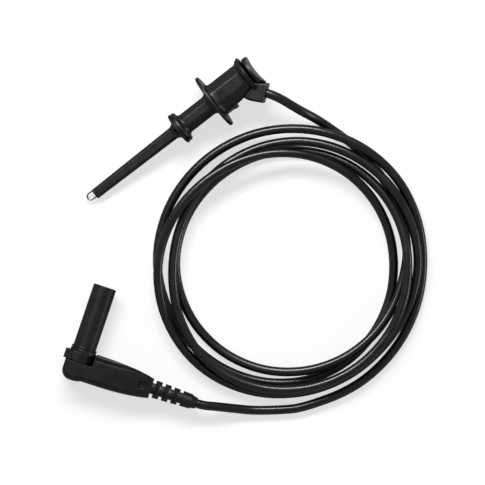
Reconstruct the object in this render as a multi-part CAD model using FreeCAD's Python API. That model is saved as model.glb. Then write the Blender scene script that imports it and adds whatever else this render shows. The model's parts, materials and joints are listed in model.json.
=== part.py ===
import FreeCAD
import Part
import math
import os

from FreeCAD import Placement, Rotation, Vector

# A clip-on test lead: a hook grabber with a sprung plunger, a loosely coiled lead
# and a right-angled plug with a shroud. Millimetres and degrees. The clip and the
# plug are each drawn about their own axis, then laid on the bench at z = 0.

# Grabber shell, along x from the middle of the finger flange, thumb end at +x
flange_width = 20.7
flange_height = 15.8
flange_thickness = 1.2
flange_hub = 1.4
front_hub_width = 12.4
front_hub_height = 10.4
rear_hub_width = 15.0
rear_hub_height = 13.4
hub_neck_wide = 0.33
hub_neck_high = 0.2
barrel_length = 13.6
barrel_flats = 7.2
collar_radius = 5.9
collar_disc = 0.95
collar_groove = 0.7
collar_groove_depth = 1.1
shoulder_length = 1.1
shoulder_radius = 4.15
body_reach = 15.6
body_flats = 11.3
lip_radius = 7.1
lip_width = 1.1
lip_flare = 1.0
cup_depth = 1.3
cup_clearance = 0.25
main_bore = 3.9
slot_front = 6.4
slot_front_width = 4.4
slot_back_width = 9.2
slot_inner = 1.5
tooth_length = 1.8
tooth_height = 1.1
tooth_width = 4.0
pad_height = 0.8
tooth_gap = 0.5
panel_width = 4.0
panel_height = 0.15
panel_margin = 1.3

# Nozzle with the hook's guide bore
nozzle_length = 36.75
nozzle_tip_radius = 1.75
nozzle_base_radius = 2.2
nozzle_shank = 9.5
flare_length = 2.0
flare_radius = 3.5

# Hook wire
wire_radius = 0.3
wire_clearance = 0.15
hook_offset = 0.95
hook_radius = 1.25
hook_reach = 1.9
hook_gap = 0.3
hook_jog = 3.5
hook_jog_start = 8.0
hook_socket = 2.0

# Plunger, its guide and its return spring
stroke = 2.0
stop_gap = 0.1
head_radius = 6.1
head_thickness = 2.2
head_edge = 0.4
dish_radius = 16.0
dish_depth = 1.1
dish_shift = 0.2
neck_length = 0.9
neck_radius = 5.0
piston_clearance = 0.1
rod_radius = 1.0
rod_clearance = 0.06
rod_front = 5.2
rod_seat = 1.9
bush_front = 0.2
bush_length = 2.0
bush_radius = 3.0
stop_length = 1.1
stop_clearance = 0.3
stop_play = 0.05
spring_length = 5.0
spring_radius = 2.5
spring_wire = 0.22
spring_half_turns = 8
washer_thickness = 0.4

# Side horn that the lead leaves through
horn_root_radius = 2.4
horn_mid_radius = 3.05
horn_end_radius = 3.55
horn_root_reach = 4.1
horn_root_side = 2.6
horn_mid_reach = 6.4
horn_mid_side = 5.5
horn_end_reach = 9.95
horn_end_side = 9.05
horn_angle = -50.5
horn_end_angle = -52.3
grommet_length = 1.8
grommet_inset = 0.65
ferrule_length = 3.6
ferrule_radius = 1.2
core_radius = 0.6
core_bend = 1.1

# How the clip lies: rolled a little on its flange, with the tip down
roll = 4.0
flange_x = 18.51
flange_y = 0.43

# Lead
lead_diameter = 3.2
lead_radius = lead_diameter / 2

# Plug, about the point where its handle and shroud axes cross:
# x along the handle to the lead, y along the shroud to its mouth
plug_x = -93.53
plug_y = -43.54
plug_turn = -56.45
plug_height = 5.6
handle_length = 26.6
handle_top = 5.05
handle_low = 5.75
handle_heel = 6.35
handle_half_height = 5.3
handle_middle = 17.0
handle_middle_top = 4.85
handle_middle_low = 5.25
handle_middle_height = 4.6
handle_end_half = 3.45
handle_end_height = 3.3
handle_chamfer = 0.9
elbow_back = 5.1
elbow_top = 1.1
elbow_joint = 1.9
heel_radius = 3.4
recess_size = 2.8
recess_depth = 0.4
recess_x = 23.2
shroud_length = 27.3
shroud_radius = 4.1
shroud_wall = 1.0
shroud_step = 0.2
mouth_chamfer = 0.4
collar_ring_radius = 5.4
collar_ring_width = 3.0
collar_ring_shift = 0.75
cuff_radius = 4.6
cuff_width = 1.9
pin_radius = 2.0
pin_core = 1.3
pin_recess = 2.2
pin_flange = 2.6
pin_flange_length = 1.5
pin_stem_radius = 2.6
pin_stem_length = 3.7
pin_tip_length = 4.6
pin_tip_wall = 1.0
pin_tip_inset = 0.1
pin_tip_bevel = 0.9
contact_length = 13.5
contact_taper = 2.2
contact_wall = 0.42
contact_slots = 6
contact_slot_width = 0.35
contact_start = 4.6
barrel_tube_length = 11.0
barrel_tube_radius = 1.05
plug_core_radius = 0.7
plug_core_start = 5.5

# Strain relief on the plug
relief_length = 15.3
relief_radius = 3.25
relief_end_radius = 2.55
relief_collar = 1.4
relief_collar_radius = 2.35
relief_lip = 0.4
relief_slots = 4
relief_pitch = 3.35
relief_slot_width = 1.1
relief_core = 1.9
relief_first_slot = 0.55

# Straight runs where the lead leaves the horn, the coil and the plug
exit_run = 5.5
coil_run = 7.5
plug_run = 6.0

# Coil, from its middle: how far out the lead lies and how high its middle is, at
# every eighth of a turn clockwise. The tube starts at the second entry.
coil_centre_x = -10.30
coil_centre_y = -63.98
coil_first_angle = 7.17
coil_end_angle = 150.15
eighths = 8
coil_reach = [41.5, 35.7, 34.8, 37.4, 41.9, 44.8, 42.4,
              39.5, 37.5, 36.4, 39.0, 43.6, 48.1, 45.4, 44.3,
              42.6, 40.8, 39.8, 39.7, 44.6, 50.9, 50.9, 44.1,
              38.0, 33.5, 31.3, 34.6, 40.7, 47.0, 51.2, 50.0,
              47.8, 45.1, 42.8, 44.6, 50.6]
coil_lift = [1.6, 3.3, 6.0, 5.4, 2.2, 1.6, 1.6,
             1.6, 3.6, 7.3, 7.9, 7.1, 6.2, 5.9, 5.6,
             4.9, 5.8, 5.6, 3.4, 2.8, 4.2, 7.4, 9.6,
             8.5, 3.9, 1.6, 1.6, 1.6, 1.6, 1.6, 3.0,
             5.8, 4.9, 1.6, 1.6, 1.6]

# Middles of the lead between those runs, each a corner that it rounds inside
clip_way = [Vector(40.6, -19.5, 8.6), Vector(43.3, -26.8, 3.0), Vector(45.8, -34.6, 1.6),
            Vector(48.1, -42.6, 1.6), Vector(49.3, -57.3, 1.6), Vector(45.5, -72.4, 1.6)]
plug_way = [Vector(-37.3, -94.7, 1.6), Vector(-43.1, -90.1, 3.4)]
arc_share = 0.45

# Overlap of joined and cut shapes, and the spacing and reach of the printed checks
overlap = 1.0
tolerance = 0.05
sample_spacing = 1.0
spring_near = 8.0
lead_near = 30.0

os.makedirs("parts", exist_ok=True)
x_axis = Vector(1, 0, 0)
y_axis = Vector(0, 1, 0)
z_axis = Vector(0, 0, 1)


def turned(profile, axis):
    """Solid of revolution from (along, radius) pairs about the x or the y axis."""
    if axis == x_axis:
        corners = [Vector(along, radius, 0) for along, radius in profile]
    else:
        corners = [Vector(radius, along, 0) for along, radius in profile]
    face = Part.Face(Part.makePolygon(corners + [corners[0]]))
    return face.revolve(Vector(0, 0, 0), axis, 360)


def rod_between(start, end, radius):
    return Part.makeCylinder(radius, (end - start).Length, start, end - start)


def ring_between(start, length, outer, inner, axis):
    outside = Part.makeCylinder(outer, length, axis * start, axis)
    return outside.cut(Part.makeCylinder(inner, length, axis * start, axis))


def eight_sided(start, length, flats):
    """Eight-sided bar along x with a flat on top."""
    corner = flats / 2 / math.cos(math.pi / 8)
    angles = [math.pi / 8 + math.pi / 4 * side for side in range(8)]
    corners = [Vector(start, corner * math.cos(a), corner * math.sin(a)) for a in angles]
    return Part.Face(Part.makePolygon(corners + [corners[0]])).extrude(x_axis * length)


def oval_wire(along, half_width, half_height):
    curve = Part.Ellipse(Vector(along, half_width, 0), Vector(along, 0, half_height),
                         Vector(along, 0, 0))
    return Part.Wire(curve.toShape())


def circle_wire(centre, normal, radius):
    return Part.Wire(Part.Circle(centre, normal, radius).toShape())


def joined(shapes):
    return shapes[0].multiFuse(shapes[1:]).removeSplitter()


def swept(edges, radius):
    """Round tube along a path of edges."""
    path = Part.Wire(edges)
    first = edges[0]
    heading = first.tangentAt(first.FirstParameter)
    profile = circle_wire(first.valueAt(first.FirstParameter), heading, radius)
    return path.makePipeShell([profile], True, False)


def rounded_path(points, name):
    """Straight runs joined by arcs that take a set share of the shorter run."""
    edges = []
    here = points[0]
    radii = []
    for before, corner, after in zip(points, points[1:], points[2:]):
        back = before - corner
        ahead = after - corner
        reach = arc_share * min(back.Length, ahead.Length)
        back.normalize()
        ahead.normalize()
        half_turn = (math.pi - back.getAngle(ahead)) / 2
        radius = reach / math.tan(half_turn)
        start = corner + back * reach
        end = corner + ahead * reach
        inward = back + ahead
        inward.normalize()
        middle = corner + inward * (radius / math.cos(half_turn) - radius)
        edges.append(Part.LineSegment(here, start).toShape())
        edges.append(Part.Arc(start, middle, end).toShape())
        radii.append(round(radius, 1))
        here = end
    edges.append(Part.LineSegment(here, points[-1]).toShape())
    print(name, "arc radii", radii)
    return edges


def arc_edge(start, heading, end):
    """Arc from start, leaving along heading, to end."""
    chord = end - start
    half = chord.Length / 2
    along = Vector(chord)
    along.normalize()
    turn = heading.getAngle(along)
    side = heading - along * heading.dot(along)
    side.normalize()
    middle = start + chord * 0.5 + side * (half * math.tan(turn / 2))
    return Part.Arc(start, middle, end).toShape()


def biarc(start, start_heading, end, end_heading):
    """Two tangent arcs from one station and heading to the next."""
    gap = end - start
    a = 2 * (start_heading.dot(end_heading) - 1)
    b = -2 * gap.dot(start_heading + end_heading)
    c = gap.dot(gap)
    if abs(a) < 1e-9:
        reach = -c / b
    else:
        root = math.sqrt(b * b - 4 * a * c)
        reach = max((-b - root) / (2 * a), (-b + root) / (2 * a))
    meet = (start + start_heading * reach + end - end_heading * reach) * 0.5
    first = arc_edge(start, start_heading, meet)
    meet_heading = (end - end_heading * reach) - (start + start_heading * reach)
    meet_heading.normalize()
    return [first, arc_edge(meet, meet_heading, end)]


def path_points(edges, spacing):
    points = []
    for edge in edges:
        count = max(2, int(edge.Length / spacing))
        first, last = edge.FirstParameter, edge.LastParameter
        for step in range(count):
            points.append(edge.valueAt(first + (last - first) * step / count))
    points.append(edges[-1].valueAt(edges[-1].LastParameter))
    return points


def least_gap(edges, radius, skip):
    """Least gap of a tube to itself, between points more than skip along it."""
    points = path_points(edges, sample_spacing)
    near = int(skip / sample_spacing)
    least = 1e9
    for index, point in enumerate(points):
        for other in points[index + near:]:
            least = min(least, point.distanceToPoint(other))
    return least - 2 * radius


def clip_frame():
    """Place the clip on its flange rim and nozzle tip."""
    turn_down = math.radians(roll)
    rim = math.hypot(flange_width / 2 * math.sin(turn_down),
                     flange_height / 2 * math.cos(turn_down))
    rim_front = -flange_edge
    tilt = math.atan((rim - nozzle_tip_radius) / (rim_front - nozzle_tip))
    height = rim * math.cos(tilt) - rim_front * math.sin(tilt)
    lean = Rotation(y_axis, -math.degrees(tilt)).multiply(Rotation(x_axis, -roll))
    return Placement(Vector(flange_x, flange_y, height), lean)


def plug_frame():
    return Placement(Vector(plug_x + flange_x, plug_y + flange_y, plug_height),
                     Rotation(z_axis, plug_turn))


def save(name, shape, place):
    placed = shape.copy()
    placed.Placement = place.multiply(placed.Placement)
    if len(placed.Solids) == 1:
        placed = placed.Solids[0]
    placed.exportStep("parts/" + name + ".step")
    print(f"{name:20s} solids {len(placed.Solids)} valid {placed.isValid()} "
          f"volume {placed.Volume:9.2f}")
    return placed


# Places along the clip that follow from the sizes above
collar_back = -barrel_length
collar_front = collar_back - 2 * collar_disc - collar_groove
nozzle_tip = collar_front - nozzle_length
nozzle_back = collar_front + nozzle_shank
nozzle_bore = hook_offset + wire_radius + wire_clearance
body_front = flange_thickness / 2
flange_edge = flange_thickness / 4
cup_floor = body_reach - cup_depth
cup_radius = head_radius + cup_clearance
bush_back = bush_front + bush_length
washer_front = bush_back + spring_length
piston_front = washer_front + washer_thickness
piston_radius = main_bore - piston_clearance
head_front = cup_floor + stroke + stop_gap
head_back = head_front + head_thickness
rod_back = piston_front + rod_seat
stop_back = bush_front - stop_play
stop_radius = nozzle_base_radius - stop_clearance
horn_root = Vector(slot_front + horn_root_reach, -horn_root_side, 0)
horn_mid = Vector(slot_front + horn_mid_reach, -horn_mid_side, 0)
horn_end = Vector(slot_front + horn_end_reach, -horn_end_side, 0)


def barrel_body():
    """Grabber shell: small collar, barrel, finger flange, thumb end and slot."""
    half_width = flange_width / 2
    half_height = flange_height / 2
    disc = [(collar_front, 0), (collar_front, collar_radius),
            (collar_front + collar_disc, collar_radius),
            (collar_front + collar_disc, collar_radius - collar_groove_depth),
            (collar_back - collar_disc, collar_radius - collar_groove_depth),
            (collar_back - collar_disc, collar_radius), (collar_back, collar_radius),
            (collar_back, shoulder_radius), (collar_back + shoulder_length, shoulder_radius),
            (collar_back + shoulder_length, 0)]
    rim = [oval_wire(-body_front, half_width - flange_edge, half_height - flange_edge),
           oval_wire(-flange_edge, half_width, half_height),
           oval_wire(flange_edge, half_width, half_height),
           oval_wire(body_front, half_width - flange_edge, half_height - flange_edge)]
    front_hub = [oval_wire(-body_front, front_hub_width / 2, front_hub_height / 2),
                 oval_wire(-body_front - flange_hub, barrel_flats / 2 + hub_neck_wide,
                           barrel_flats / 2 + hub_neck_high)]
    rear_hub = [oval_wire(body_front, rear_hub_width / 2, rear_hub_height / 2),
                oval_wire(body_front + flange_hub, body_flats / 2 + hub_neck_wide,
                          body_flats / 2 + hub_neck_high)]
    lip_front = body_reach - lip_width
    lip = [(lip_front - lip_flare, 0), (lip_front - lip_flare, body_flats / 2),
           (lip_front, lip_radius), (body_reach, lip_radius), (body_reach, 0)]
    tooth_x = slot_front - tooth_gap - tooth_length
    tooth = Part.makeBox(tooth_length, tooth_height + overlap, tooth_width,
                         Vector(tooth_x, -body_flats / 2 - tooth_height, -tooth_width / 2))
    pad = Part.makeBox(tooth_x - body_front, pad_height + overlap, tooth_width,
                       Vector(body_front, -body_flats / 2 - pad_height, -tooth_width / 2))
    panel_length = lip_front - lip_flare - body_front - flange_hub - panel_margin
    panel = Part.makeBox(panel_length, panel_width, panel_height + overlap,
                         Vector(body_front + flange_hub + panel_margin / 2, -panel_width / 2,
                                body_flats / 2 - overlap))
    shell = joined([turned(disc, x_axis),
                    eight_sided(collar_back, barrel_length, barrel_flats),
                    Part.makeLoft(rim, True, True),
                    Part.makeLoft(front_hub, True, True),
                    Part.makeLoft(rear_hub, True, True),
                    eight_sided(0, lip_front, body_flats),
                    turned(lip, x_axis), tooth, pad, panel])
    bore = [(collar_front, 0), (collar_front, nozzle_base_radius),
            (bush_front, nozzle_base_radius), (bush_front, bush_radius),
            (bush_back, bush_radius), (bush_back, main_bore),
            (cup_floor - neck_length - stop_gap, main_bore),
            (cup_floor, neck_radius + cup_clearance), (cup_floor, cup_radius),
            (body_reach, cup_radius), (body_reach, 0)]
    front_half = slot_front_width / 2
    back_half = slot_back_width / 2
    slot_end = body_reach + overlap
    corners = [Vector(slot_front, -slot_inner, -front_half),
               Vector(slot_end, -slot_inner, -back_half),
               Vector(slot_end, -slot_inner, back_half),
               Vector(slot_front, -slot_inner, front_half)]
    slot = Part.Face(Part.makePolygon(corners + [corners[0]])).extrude(-y_axis * lip_radius)
    return shell.cut(turned(bore, x_axis)).cut(slot)


def nozzle_tube():
    flare_front = collar_front - flare_length
    outline = [(nozzle_tip, nozzle_bore), (nozzle_tip, nozzle_tip_radius),
               (flare_front, nozzle_base_radius), (collar_front, flare_radius),
               (collar_front, nozzle_base_radius), (nozzle_back, nozzle_base_radius),
               (nozzle_back, nozzle_bore)]
    return turned(outline, x_axis)


def hook_wire():
    """Straight shank that jogs to one side, then turns back on itself as the hook."""
    bend_x = nozzle_tip - hook_reach
    jog = nozzle_tip + hook_jog_start
    line = [Vector(-rod_front + hook_socket, 0, 0), Vector(jog, 0, 0),
            Vector(jog - hook_jog, -hook_offset, 0), Vector(bend_x, -hook_offset, 0)]
    edges = rounded_path(line, "hook_wire")
    top = -hook_offset + 2 * hook_radius
    edges.append(Part.Arc(line[-1], Vector(bend_x - hook_radius, top - hook_radius, 0),
                          Vector(bend_x, top, 0)).toShape())
    edges.append(Part.LineSegment(Vector(bend_x, top, 0),
                                  Vector(nozzle_tip - hook_gap, top, 0)).toShape())
    return swept(edges, wire_radius)


def contact_rod():
    rod = rod_between(Vector(-rod_front, 0, 0), Vector(rod_back, 0, 0), rod_radius)
    socket = rod_between(Vector(-rod_front, 0, 0), Vector(-rod_front + hook_socket, 0, 0),
                         wire_radius)
    return rod.cut(socket)


def return_spring():
    """Round wire spring between the bush and the washer, in half-turn biarcs."""
    first = bush_back + spring_wire
    last = washer_front - spring_wire
    rise = (last - first) / spring_half_turns
    slope = rise / math.pi
    places = []
    headings = []
    for half in range(spring_half_turns + 1):
        side = (-1) ** half
        places.append(Vector(first + rise * half, 0, side * spring_radius))
        heading = Vector(slope, side * spring_radius, 0)
        heading.normalize()
        headings.append(heading)
    edges = []
    for half in range(spring_half_turns):
        edges += biarc(places[half], headings[half], places[half + 1], headings[half + 1])
    print("return_spring least gap", round(least_gap(edges, spring_wire, spring_near), 2))
    return swept(edges, spring_wire)


def direction(angle):
    turn = math.radians(angle)
    return Vector(math.cos(turn), math.sin(turn), 0)


def horn_core():
    """Bare strands from the ferrule to the back of the contact rod."""
    start = horn_end - direction(horn_end_angle) * ferrule_length
    corner = Vector(horn_root.x + core_bend, 0, 0)
    strands = swept(rounded_path([start, corner, Vector(rod_back, 0, 0)], "clip_core_wire"),
                    core_radius)
    return strands.cut(wire_ferrule())


def wire_ferrule():
    return rod_between(horn_end - direction(horn_end_angle) * ferrule_length, horn_end,
                       ferrule_radius)


def plunger_button():
    """Thumb rest, neck, piston and side horn, moulded in one."""
    body = [(piston_front, 0), (piston_front, piston_radius),
            (head_front - neck_length, piston_radius), (head_front, neck_radius),
            (head_front, head_radius - head_edge), (head_front + head_edge, head_radius),
            (head_back - head_edge, head_radius), (head_back, head_radius - head_edge),
            (head_back, 0)]
    dish = Part.makeCylinder(dish_radius, 4 * head_radius,
                             Vector(head_back - dish_depth + dish_radius, dish_shift,
                                    -2 * head_radius), z_axis)
    inner = direction(horn_angle)
    outer = direction(horn_end_angle)
    horn = Part.makeLoft([circle_wire(horn_root, inner, horn_root_radius),
                          circle_wire(horn_mid, inner, horn_mid_radius),
                          circle_wire(horn_end - outer * grommet_length, outer, horn_end_radius),
                          circle_wire(horn_end, outer, horn_end_radius)], True, True)
    button = joined([turned(body, x_axis).cut(dish), horn])
    for inside in (contact_rod(), horn_core(), wire_ferrule(), horn_grommet()):
        button = button.cut(inside)
    return button


def horn_grommet():
    """Soft ring that closes the horn round the ferrule."""
    inner_end = horn_end - direction(horn_end_angle) * grommet_length
    ring = rod_between(inner_end, horn_end, horn_end_radius - grommet_inset)
    return ring.cut(wire_ferrule())


clip = clip_frame()
save("barrel_body", barrel_body(), clip)
save("nozzle_tube", nozzle_tube(), clip)
save("guide_bush", ring_between(bush_front, bush_length, bush_radius,
                                rod_radius + rod_clearance, x_axis), clip)
save("return_spring", return_spring(), clip)
save("spring_washer", ring_between(washer_front, washer_thickness, bush_radius, rod_radius,
                                   x_axis), clip)
save("stop_collar", ring_between(stop_back - stop_length, stop_length, stop_radius,
                                 rod_radius, x_axis), clip)
save("contact_rod", contact_rod(), clip)
save("hook_wire", hook_wire(), clip)
save("plunger_button", plunger_button(), clip)
save("horn_grommet", horn_grommet(), clip)
save("wire_ferrule", wire_ferrule(), clip)
save("clip_core_wire", horn_core(), clip)


# Places along the plug that follow from the sizes above
shroud_mouth = elbow_top + shroud_length
collar_end = elbow_top + collar_ring_width + cuff_width
shroud_bore = shroud_radius - shroud_wall
pin_end = shroud_mouth - pin_recess
core_end = pin_end - pin_tip_wall
flange_end = elbow_top + pin_flange_length
contact_from = flange_end + contact_start
contact_to = contact_from + contact_length
relief_back = handle_length + relief_length
plug_exit = relief_back + relief_collar


def handle_section(along, low, high, half_height):
    """Chamfered rectangle across the handle."""
    c = handle_chamfer
    corners = [(low, half_height - c), (low + c, half_height), (high - c, half_height),
               (high, half_height - c), (high, c - half_height), (high - c, -half_height),
               (low + c, -half_height), (low, c - half_height)]
    points = [Vector(along, y, z) for y, z in corners]
    return Part.makePolygon(points + [points[0]])


def heel_block():
    """Rounded outer corner of the elbow, chamfered round its top and bottom."""
    back = -elbow_back
    low = -handle_heel
    cut = heel_radius * (1 - math.sqrt(0.5))
    corners = [Vector(back + heel_radius, low, 0), Vector(elbow_joint, low, 0),
               Vector(elbow_joint, elbow_top, 0), Vector(back, elbow_top, 0),
               Vector(back, low + heel_radius, 0)]
    edges = [Part.LineSegment(start, end).toShape() for start, end in zip(corners, corners[1:])]
    edges.append(Part.Arc(corners[-1], Vector(back + cut, low + cut, 0), corners[0]).toShape())
    face = Part.Face(Part.Wire(edges))
    face.translate(Vector(0, 0, -handle_half_height))
    block = face.extrude(z_axis * 2 * handle_half_height)
    outer = [edge for edge in block.Edges
             if abs(abs(edge.CenterOfMass.z) - handle_half_height) < tolerance
             and edge.CenterOfMass.x < elbow_joint - tolerance
             and edge.CenterOfMass.y < elbow_top - tolerance]
    return block.makeChamfer(handle_chamfer, outer)


def elbow_body():
    """Right-angled handle that narrows towards the lead."""
    under_shroud = Part.makeLoft(
        [handle_section(elbow_joint, -handle_low, elbow_top, handle_half_height),
         handle_section(elbow_back, -handle_low, elbow_top, handle_half_height)], True, True)
    grip = Part.makeLoft(
        [handle_section(elbow_back, -handle_low, handle_top, handle_half_height),
         handle_section(handle_middle, -handle_middle_low, handle_middle_top,
                        handle_middle_height),
         handle_section(handle_length, -handle_end_half, handle_end_half, handle_end_height)],
        True, True)
    block = joined([heel_block(), under_shroud, grip])
    half = recess_size / 2
    fall = (handle_middle_height - handle_end_height) / (handle_length - handle_middle)
    surface = handle_middle_height - fall * (recess_x - handle_middle)
    block = block.cut(Part.makeBox(recess_size, recess_size, recess_depth + overlap,
                                   Vector(recess_x - half, -half, surface - recess_depth)))
    for inside in (pin_body(), barrel_tube(), plug_core()):
        block = block.cut(inside)
    return block


def pin_body():
    """Turned pin: stem in the elbow, flange in the shroud, thin core to the tip."""
    outline = [(elbow_top - pin_stem_length, 0), (elbow_top - pin_stem_length, pin_stem_radius),
               (elbow_top, pin_stem_radius), (elbow_top, pin_flange), (flange_end, pin_flange),
               (flange_end, pin_radius), (contact_from, pin_radius),
               (contact_from, pin_core), (core_end, pin_core), (core_end, 0)]
    hole = rod_between(Vector(0, 0, 0), Vector(barrel_tube_length, 0, 0), barrel_tube_radius)
    return turned(outline, y_axis).cut(hole)


def barrel_tube():
    tube = rod_between(Vector(0, 0, 0), Vector(barrel_tube_length, 0, 0), barrel_tube_radius)
    return tube.cut(plug_core())


def plug_core():
    return rod_between(Vector(plug_core_start, 0, 0), Vector(plug_exit, 0, 0),
                       plug_core_radius)


def pin_spring():
    """Slotted contact sleeve, bowed out to the pin's working size."""
    thin = pin_core + contact_wall
    outline = [(contact_from, pin_core), (contact_from, thin),
               (contact_from + contact_taper, pin_radius),
               (contact_to - contact_taper, pin_radius), (contact_to, thin),
               (contact_to, pin_core),
               (contact_to - contact_taper, pin_radius - contact_wall),
               (contact_from + contact_taper, pin_radius - contact_wall)]
    sleeve = turned(outline, y_axis)
    cut_length = contact_length - 2 * contact_taper
    for index in range(contact_slots):
        slot = Part.makeBox(pin_radius + overlap, cut_length, contact_slot_width,
                            Vector(0, contact_from + contact_taper, -contact_slot_width / 2))
        slot.rotate(Vector(0, 0, 0), y_axis, 360 * index / contact_slots)
        sleeve = sleeve.cut(slot)
    return sleeve


def pin_tip():
    """Insulating cap over the end of the core."""
    start = pin_end - pin_tip_length
    outside = pin_radius - pin_tip_inset
    outline = [(start, pin_core), (start, outside), (pin_end - pin_tip_bevel, outside),
               (pin_end, outside - pin_tip_bevel), (pin_end, 0), (core_end, 0),
               (core_end, pin_core)]
    return turned(outline, y_axis)


def shroud_sleeve():
    """Safety shroud, stepped down a little where the collar holds it."""
    rim = shroud_mouth - mouth_chamfer
    seat = shroud_radius - shroud_step
    outline = [(elbow_top, shroud_bore), (elbow_top, seat), (collar_end, seat),
               (collar_end, shroud_radius), (rim, shroud_radius),
               (shroud_mouth, shroud_radius - mouth_chamfer / 2),
               (shroud_mouth, shroud_bore + mouth_chamfer / 2), (rim, shroud_bore)]
    return turned(outline, y_axis)


def shroud_collar():
    """Broad ring set off to the heel's side, and a cuff, that hold the shroud's foot."""
    ring = Part.makeCylinder(collar_ring_radius, collar_ring_width,
                             Vector(-collar_ring_shift, elbow_top, 0), y_axis)
    cuff = Part.makeCylinder(cuff_radius, collar_end - elbow_top, y_axis * elbow_top, y_axis)
    seat = Part.makeCylinder(shroud_radius - shroud_step, shroud_mouth, Vector(0, 0, 0), y_axis)
    return joined([ring, cuff]).cut(seat)


def strain_relief():
    """Tapered boot with staggered slots, round the bare strands."""
    boot = Part.makeCone(relief_radius, relief_end_radius, relief_length,
                         Vector(handle_length, 0, 0), x_axis)
    end = Part.makeCone(relief_collar_radius, lead_radius + relief_lip, relief_collar,
                        Vector(relief_back, 0, 0), x_axis)
    boot = joined([boot, end])
    deep = 2 * relief_radius
    for index in range(relief_slots):
        middle = handle_length + relief_first_slot + relief_pitch * index
        across = middle + relief_pitch / 2
        for side in (-1, 1):
            boot = boot.cut(Part.makeBox(relief_slot_width, deep, 2 * deep,
                                         Vector(middle - relief_slot_width / 2,
                                                relief_core if side > 0 else -relief_core - deep,
                                                -deep)))
            if index == relief_slots - 1:
                continue
            boot = boot.cut(Part.makeBox(relief_slot_width, 2 * deep, deep,
                                         Vector(across - relief_slot_width / 2, -deep,
                                                relief_core if side > 0 else -relief_core - deep)))
    return boot.cut(plug_core())


plug = plug_frame()
save("elbow_body", elbow_body(), plug)
save("shroud_sleeve", shroud_sleeve(), plug)
save("shroud_collar", shroud_collar(), plug)
save("banana_pin", pin_body(), plug)
save("pin_spring", pin_spring(), plug)
save("pin_tip", pin_tip(), plug)
save("pin_spacer", ring_between(elbow_top, pin_flange_length, shroud_bore, pin_flange, y_axis),
     plug)
save("crimp_barrel", barrel_tube(), plug)
save("plug_core_wire", plug_core(), plug)
save("strain_relief", strain_relief(), plug)


def coil_place(index):
    """Middle of the lead at an eighth-turn station."""
    angle = math.radians(coil_first_angle - 360 / eighths * index)
    reach = coil_reach[index]
    return Vector(coil_centre_x + flange_x + reach * math.cos(angle),
                  coil_centre_y + flange_y + reach * math.sin(angle), coil_lift[index])


def coil_heading(index):
    """Direction of travel at a station, from the stations beside it."""
    if index == len(coil_reach) - 1:
        heading = direction(coil_end_angle)
    else:
        heading = coil_place(index + 1) - coil_place(index - 1)
    if coil_lift[index] == lead_radius:
        heading.z = 0
    heading.normalize()
    return heading


def report_tube(name, tube, edges):
    length = sum(edge.Length for edge in edges)
    share = tube.Volume / (math.pi * lead_radius ** 2 * length)
    lowest = min(point.z for point in path_points(edges, sample_spacing)) - lead_radius
    print(name, "length", round(length, 1), "volume over section times length",
          round(share, 4), "lowest", round(lowest, 3))


# The three stretches of lead meet face to face
lead_exit = clip.multVec(horn_end)
exit_heading = clip.Rotation.multVec(direction(horn_end_angle))
last = len(coil_reach) - 1
coil_start = coil_place(1)
coil_end = coil_place(last)
plug_end = plug.multVec(Vector(plug_exit, 0, 0))
plug_heading = plug.Rotation.multVec(x_axis)

clip_route = [lead_exit, lead_exit + exit_heading * exit_run] + clip_way
clip_route += [coil_start - coil_heading(1) * coil_run, coil_start]
clip_edges = rounded_path(clip_route, "cord_clip_stretch")
clip_tube = save("cord_clip_stretch", swept(clip_edges, lead_radius), Placement())
report_tube("cord_clip_stretch", clip_tube, clip_edges)

coil_edges = []
for index in range(1, last, 2):
    coil_edges += biarc(coil_place(index), coil_heading(index),
                        coil_place(index + 2), coil_heading(index + 2))
coil_tube = save("cord_coil", swept(coil_edges, lead_radius), Placement())
report_tube("cord_coil", coil_tube, coil_edges)

plug_route = [coil_end, coil_end + coil_heading(last) * coil_run] + plug_way
plug_route += [plug_end + plug_heading * plug_run, plug_end]
plug_edges = rounded_path(plug_route, "cord_plug_stretch")
plug_tube = save("cord_plug_stretch", swept(plug_edges, lead_radius), Placement())
report_tube("cord_plug_stretch", plug_tube, plug_edges)

whole = clip_edges + coil_edges + plug_edges
print("whole lead", round(sum(edge.Length for edge in whole), 1), "coil's least gap to itself",
      round(least_gap(coil_edges, lead_radius, lead_near), 2), "whole lead's",
      round(least_gap(whole, lead_radius, lead_near), 2))
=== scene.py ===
import json
import math

import bmesh
import bpy
from mathutils import Matrix, Vector


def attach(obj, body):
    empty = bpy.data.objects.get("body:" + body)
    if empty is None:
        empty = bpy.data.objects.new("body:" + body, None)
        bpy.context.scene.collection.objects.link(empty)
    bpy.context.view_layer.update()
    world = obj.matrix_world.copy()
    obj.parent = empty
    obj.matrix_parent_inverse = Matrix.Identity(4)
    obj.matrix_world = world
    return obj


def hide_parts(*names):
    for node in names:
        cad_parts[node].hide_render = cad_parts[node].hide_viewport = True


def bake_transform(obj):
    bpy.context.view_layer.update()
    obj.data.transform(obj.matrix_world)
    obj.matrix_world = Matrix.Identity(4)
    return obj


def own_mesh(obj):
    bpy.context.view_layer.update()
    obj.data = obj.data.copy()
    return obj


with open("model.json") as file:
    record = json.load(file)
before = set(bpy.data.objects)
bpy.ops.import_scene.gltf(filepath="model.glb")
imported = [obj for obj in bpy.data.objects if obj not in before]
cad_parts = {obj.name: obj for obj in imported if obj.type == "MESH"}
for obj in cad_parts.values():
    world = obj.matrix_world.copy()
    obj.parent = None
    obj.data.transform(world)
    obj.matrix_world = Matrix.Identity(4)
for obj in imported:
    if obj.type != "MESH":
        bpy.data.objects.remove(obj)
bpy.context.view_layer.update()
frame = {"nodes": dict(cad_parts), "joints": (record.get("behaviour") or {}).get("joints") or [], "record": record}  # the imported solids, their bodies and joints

mm = 0.001
xAxis = Vector((1, 0, 0))

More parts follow.
